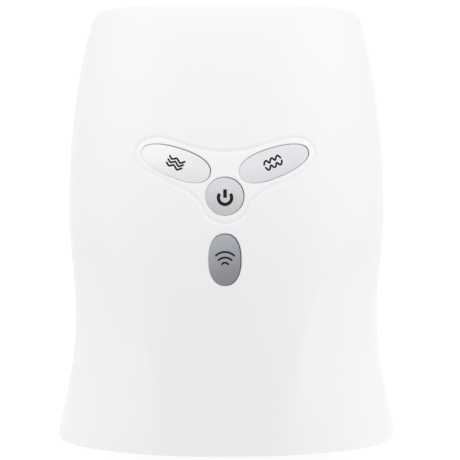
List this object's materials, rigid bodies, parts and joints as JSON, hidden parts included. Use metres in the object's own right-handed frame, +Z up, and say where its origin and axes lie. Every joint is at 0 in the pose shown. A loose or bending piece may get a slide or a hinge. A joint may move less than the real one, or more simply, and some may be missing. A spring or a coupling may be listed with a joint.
{
  "type": "hand massager",
  "caption": "Cordless hand massager: white shell with a flared mouth for the hand, a Y-shaped key panel, a grey oval key, air bags, heat and vibration.",
  "frame": {"origin": "middle of the footprint, on the surface that the feet stand on", "axes": "+Y towards the finger end, away from the wrist mouth; +Z up, out of the keys; +X to the right seen from above with the finger end away"},
  "size_m": [0.156, 0.21, 0.101],
  "materials": {
    "shell_white": "smooth gloss, injection moulded",
    "panel_white": "smooth gloss",
    "bezel_grey": "fine satin",
    "frame_grey": "moulded satin",
    "tray_grey": "moulded satin",
    "lining_fabric": "knitted lining",
    "pad_fabric": "padded knitted fabric",
    "film_amber": "printed heating film",
    "airbag_film": "welded translucent film",
    "palm_grey": "satin",
    "nodule_rubber": "soft satin",
    "key_silver": "satin gloss",
    "key_white": "satin gloss",
    "key_lavender": "satin gloss",
    "key_grey": "satin gloss",
    "switch_black": "moulded",
    "board_green": "solder mask",
    "screw_steel": "zinc plated",
    "battery_wrap": "shrink wrap",
    "clip_black": "moulded",
    "motor_steel": "drawn steel can",
    "pump_black": "moulded",
    "crank_brass": "turned",
    "hose_clear": "translucent tube",
    "weight_steel": "sintered",
    "bracket_white": "moulded",
    "ribbon_tan": "flat lead",
    "socket_steel": "formed sheet",
    "foot_rubber": "soft matte"
  },
  "bodies": {
    "case": {"top_cover": "shell_white", "base_shell": "shell_white", "button_panel": "panel_white", "mouth_bezel": "bezel_grey", "upper_frame": "frame_grey", "lower_tray": "tray_grey", "hand_liner": "lining_fabric", "upper_airbag": "airbag_film", "palm_airbag": "airbag_film", "key_board": "board_green", "push_switches": "switch_black", "key_board_screws": "screw_steel", "power_board": "board_green", "battery_pack": "battery_wrap", "battery_clip": "clip_black", "pump_motor": "motor_steel", "pump_head": "pump_black", "air_valves": "motor_steel", "air_hoses": "hose_clear", "left_buzz_motor": "motor_steel", "right_buzz_motor": "motor_steel", "motor_brackets": "bracket_white", "ribbon_cable": "ribbon_tan", "charging_socket": "socket_steel", "charge_board": "board_green", "case_screws": "screw_steel", "frame_screws": "screw_steel", "rubber_feet": "foot_rubber"},
    "power_key": {"power_key": "key_silver", "power_plunger": "switch_black"},
    "vibration_key": {"vibration_key": "key_white", "vibration_plunger": "switch_black"},
    "wave_key": {"wave_key": "key_lavender", "wave_plunger": "switch_black"},
    "pressure_key": {"pressure_key": "key_grey", "pressure_plunger": "switch_black"},
    "ceiling_pad": {"ceiling_pad": "pad_fabric", "heat_film": "film_amber"},
    "palm_plate": {"palm_plate": "palm_grey", "massage_nodules": "nodule_rubber"},
    "pump_crank": {"pump_crank": "crank_brass"},
    "left_weight": {"left_weight": "weight_steel"},
    "right_weight": {"right_weight": "weight_steel"}
  },
  "joints": [
    {"name": "power_key_press", "type": "slide", "parent": "case", "child": "power_key", "axis": [0, 0, -1], "range_m": [0, 0.0008], "stiffness_N_per_m": 300, "springref_m": -0.002},
    {"name": "vibration_key_press", "type": "slide", "parent": "case", "child": "vibration_key", "axis": [0, 0, -1], "range_m": [0, 0.0008], "stiffness_N_per_m": 300, "springref_m": -0.002},
    {"name": "wave_key_press", "type": "slide", "parent": "case", "child": "wave_key", "axis": [0, 0, -1], "range_m": [0, 0.0008], "stiffness_N_per_m": 300, "springref_m": -0.002},
    {"name": "pressure_key_press", "type": "slide", "parent": "case", "child": "pressure_key", "axis": [0, 0, -1], "range_m": [0, 0.0008], "stiffness_N_per_m": 300, "springref_m": -0.002},
    {"name": "ceiling_pad_squeeze", "type": "slide", "parent": "case", "child": "ceiling_pad", "axis": [0, 0, -1], "range_m": [0, 0.012], "stiffness_N_per_m": 250, "springref_m": -0.003, "deforming": ["upper_airbag"]},
    {"name": "palm_plate_lift", "type": "slide", "parent": "case", "child": "palm_plate", "axis": [0, 0, 1], "range_m": [0, 0.006], "stiffness_N_per_m": 200, "springref_m": -0.001, "deforming": ["palm_airbag"]},
    {"name": "pump_spin", "type": "hinge", "parent": "case", "child": "pump_crank", "pos_m": [-0.01, 0.066, 0.0165], "axis": [1, 0, 0], "continuous": true},
    {"name": "left_weight_spin", "type": "hinge", "parent": "case", "child": "left_weight", "pos_m": [-0.0575, -0.044, 0.017], "axis": [0, 1, 0], "continuous": true},
    {"name": "right_weight_spin", "type": "hinge", "parent": "case", "child": "right_weight", "pos_m": [0.0575, -0.044, 0.017], "axis": [0, 1, 0], "continuous": true}
  ]
}
